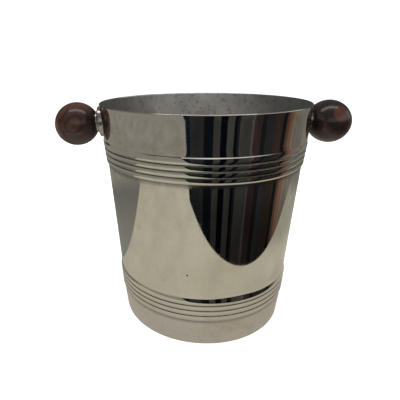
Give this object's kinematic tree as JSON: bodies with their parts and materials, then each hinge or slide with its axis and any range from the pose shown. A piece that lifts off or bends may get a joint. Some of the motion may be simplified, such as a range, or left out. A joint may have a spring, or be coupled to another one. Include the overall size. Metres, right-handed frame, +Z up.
{
  "type": "champagne bucket",
  "caption": "Tapering silver-plated wine cooler bucket with reeded bands and turned wooden ball handles on flanged collars.",
  "frame": {"origin": "centre of the base, on the surface that the bucket stands on", "axes": "+Z up along the bucket's axis; the two ball handles lie along X; the front of the picture looks along +Y"},
  "size_m": [0.2774, 0.1924, 0.2035],
  "materials": {
    "silver_plate": "polished silver plate, lightly tarnished, matt inside",
    "silver_plate_base": "silver plate, rubbed satin where it stands",
    "collar_silver": "polished, tarnished in the cove",
    "rosewood": "turned dark reddish-brown wood, glossy lacquer",
    "screw_steel": "bright steel",
    "insert_brass": "machined"
  },
  "bodies": {
    "root": {"bucket_wall": "silver_plate", "bucket_base": "silver_plate_base", "collar_left": "collar_silver", "collar_right": "collar_silver", "ball_left": "rosewood", "ball_right": "rosewood", "screw_left": "screw_steel", "screw_right": "screw_steel", "washer_left": "screw_steel", "washer_right": "screw_steel", "insert_left": "insert_brass", "insert_right": "insert_brass"}
  },
  "joints": []
}
